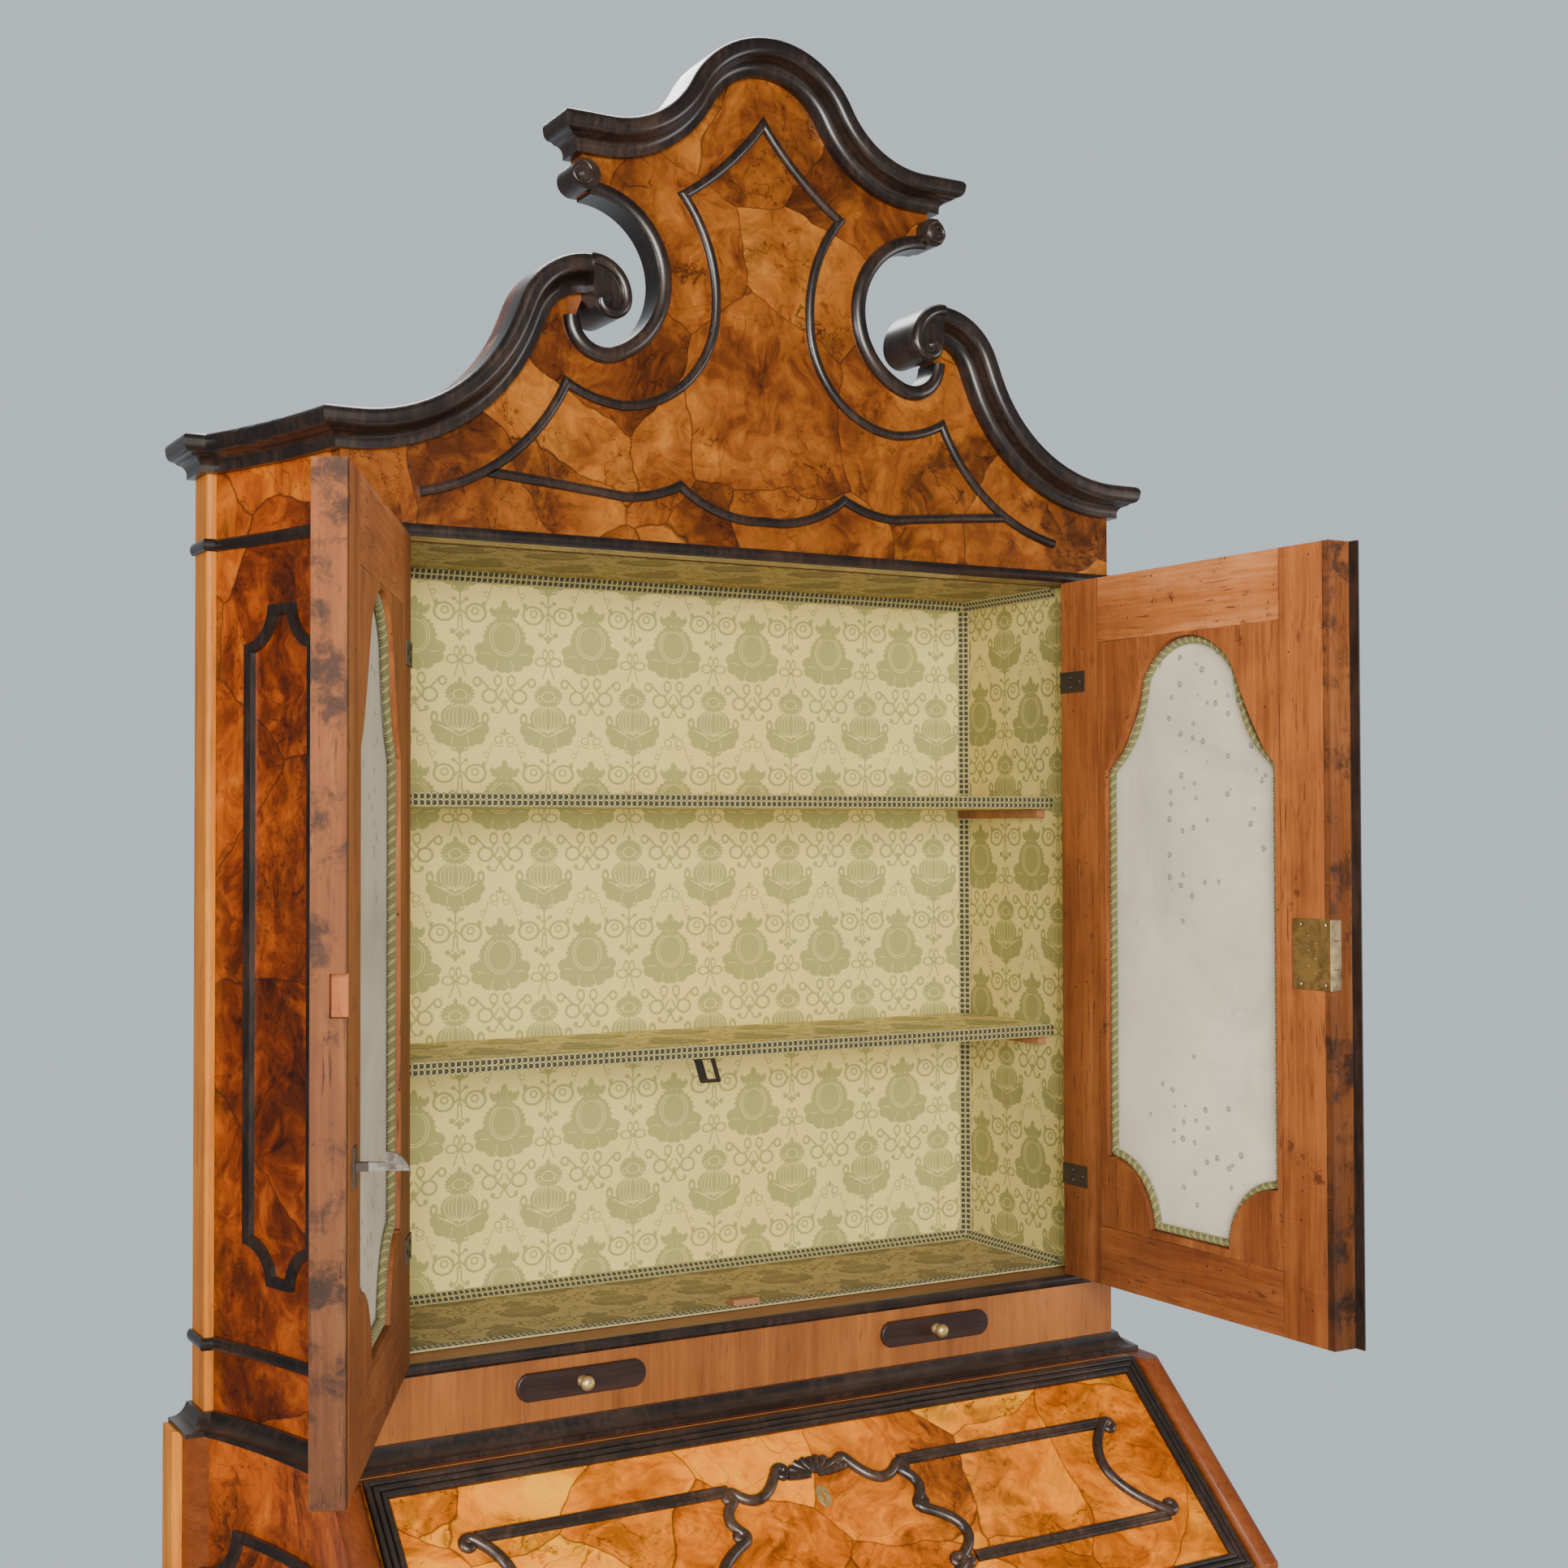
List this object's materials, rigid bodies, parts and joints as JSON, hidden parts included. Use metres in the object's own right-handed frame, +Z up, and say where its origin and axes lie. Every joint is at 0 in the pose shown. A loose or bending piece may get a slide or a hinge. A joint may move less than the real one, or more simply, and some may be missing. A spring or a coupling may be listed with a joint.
{
  "type": "bureau cabinet",
  "caption": "Slant-front bureau with drawers carrying a lined two-door cabinet under a scrolled pediment; doors, fall, drawers and candle slides move.",
  "frame": {"origin": "on the floor at the middle of the width, straight below the front plane of the upper cabinet", "axes": "+X to the viewer's right, +Y to the back, +Z up; the front faces -Y"},
  "size_m": [1.2852, 0.7369, 2.5586],
  "materials": {
    "burl_walnut": "polished",
    "plain_walnut": "waxed",
    "carcase_wood": "unfinished",
    "ebonised_wood": "satin black",
    "damask": "woven",
    "twisted_cord": "twisted",
    "silvered_glass": "old mirror, silvered back inside",
    "brass": "worn",
    "black_iron": "blackened"
  },
  "bodies": {
    "case": {"bureau_side_left": "burl_walnut", "bureau_side_right": "burl_walnut", "bureau_back": "carcase_wood", "bureau_top": "burl_walnut", "writing_deck": "plain_walnut", "deck_hinges": "brass", "drawer_dividers": "carcase_wood", "plinth_and_feet": "ebonised_wood", "pigeonholes": "plain_walnut", "corner_strips": "plain_walnut", "side_beads": "ebonised_wood", "cabinet_side_left": "burl_walnut", "cabinet_side_right": "burl_walnut", "cabinet_back": "carcase_wood", "cabinet_top": "carcase_wood", "cabinet_bottom": "carcase_wood", "cabinet_lining": "damask", "shelves": "carcase_wood", "bearers": "carcase_wood", "hook_keeper": "black_iron", "candle_frieze": "plain_walnut", "base_moulding": "ebonised_wood", "string_courses": "ebonised_wood", "pediment_board": "burl_walnut", "cornice": "ebonised_wood", "crest_cornice": "ebonised_wood", "pediment_scrolls": "ebonised_wood", "pediment_bead": "ebonised_wood", "carcase_hinges": "black_iron"},
    "left_door": {"left_door_frame": "plain_walnut", "left_door_mirror": "silvered_glass", "left_door_moulding": "ebonised_wood", "left_door_cord": "twisted_cord", "left_door_hinges": "black_iron"},
    "hook": {"left_door_hook": "black_iron"},
    "right_door": {"right_door_frame": "plain_walnut", "right_door_mirror": "silvered_glass", "right_door_moulding": "ebonised_wood", "right_door_cord": "twisted_cord", "right_door_hinges": "black_iron", "right_door_lock": "brass"},
    "bolt": {"right_lock_bolt": "brass"},
    "fall": {"fall_panel": "burl_walnut", "fall_frame": "ebonised_wood", "fall_ornament": "ebonised_wood", "fall_metalwork": "brass"},
    "candle_slide_left": {"candle_slide_left": "plain_walnut", "candle_knob_left": "brass"},
    "candle_slide_right": {"candle_slide_right": "plain_walnut", "candle_knob_right": "brass"},
    "loper_left": {"loper_left": "plain_walnut"},
    "loper_right": {"loper_right": "plain_walnut"},
    "top_drawer": {"top_drawer": "plain_walnut", "top_drawer_knobs": "brass"},
    "upper_drawer": {"upper_drawer": "plain_walnut", "upper_drawer_knobs": "brass"},
    "lower_drawer": {"lower_drawer": "plain_walnut", "lower_drawer_knobs": "brass"},
    "inner_drawer_left": {"inner_drawer_left": "plain_walnut"},
    "inner_drawer_right": {"inner_drawer_right": "plain_walnut"}
  },
  "joints": [
    {"name": "left_door_hinge", "type": "hinge", "parent": "case", "child": "left_door", "pos_m": [-0.455, 0, 1.53], "axis": [0, 0, -1], "range_deg": [-116, 4]},
    {"name": "right_door_hinge", "type": "hinge", "parent": "case", "child": "right_door", "pos_m": [0.455, 0, 1.53], "axis": [0, 0, 1], "range_deg": [-91, 29]},
    {"name": "hook_pivot", "type": "hinge", "parent": "left_door", "child": "hook", "pos_m": [-0.59947, -0.38404, 1.372], "axis": [-0.4384, -0.8988, 0], "range_deg": [0, 25]},
    {"name": "lock_bolt_slide", "type": "slide", "parent": "right_door", "child": "bolt", "axis": [0.0175, -0.9998, 0], "range_m": [0, 0.008]},
    {"name": "fall_hinge", "type": "hinge", "parent": "case", "child": "fall", "pos_m": [0, -0.24979, 0.7896], "axis": [1, 0, 0], "range_deg": [0, 138]},
    {"name": "candle_slide_left_pull", "type": "slide", "parent": "case", "child": "candle_slide_left", "axis": [0, -1, 0], "range_m": [0, 0.15]},
    {"name": "candle_slide_right_pull", "type": "slide", "parent": "case", "child": "candle_slide_right", "axis": [0, -1, 0], "range_m": [0, 0.15]},
    {"name": "loper_left_pull", "type": "slide", "parent": "case", "child": "loper_left", "axis": [0, -1, 0], "range_m": [0, 0.24]},
    {"name": "loper_right_pull", "type": "slide", "parent": "case", "child": "loper_right", "axis": [0, -1, 0], "range_m": [0, 0.24]},
    {"name": "top_drawer_pull", "type": "slide", "parent": "case", "child": "top_drawer", "axis": [0, -1, 0], "range_m": [0, 0.36]},
    {"name": "upper_drawer_pull", "type": "slide", "parent": "case", "child": "upper_drawer", "axis": [0, -1, 0], "range_m": [0, 0.36]},
    {"name": "lower_drawer_pull", "type": "slide", "parent": "case", "child": "lower_drawer", "axis": [0, -1, 0], "range_m": [0, 0.36]},
    {"name": "inner_drawer_left_pull", "type": "slide", "parent": "case", "child": "inner_drawer_left", "axis": [0, -1, 0], "range_m": [0, 0.15]},
    {"name": "inner_drawer_right_pull", "type": "slide", "parent": "case", "child": "inner_drawer_right", "axis": [0, -1, 0], "range_m": [0, 0.15]}
  ]
}
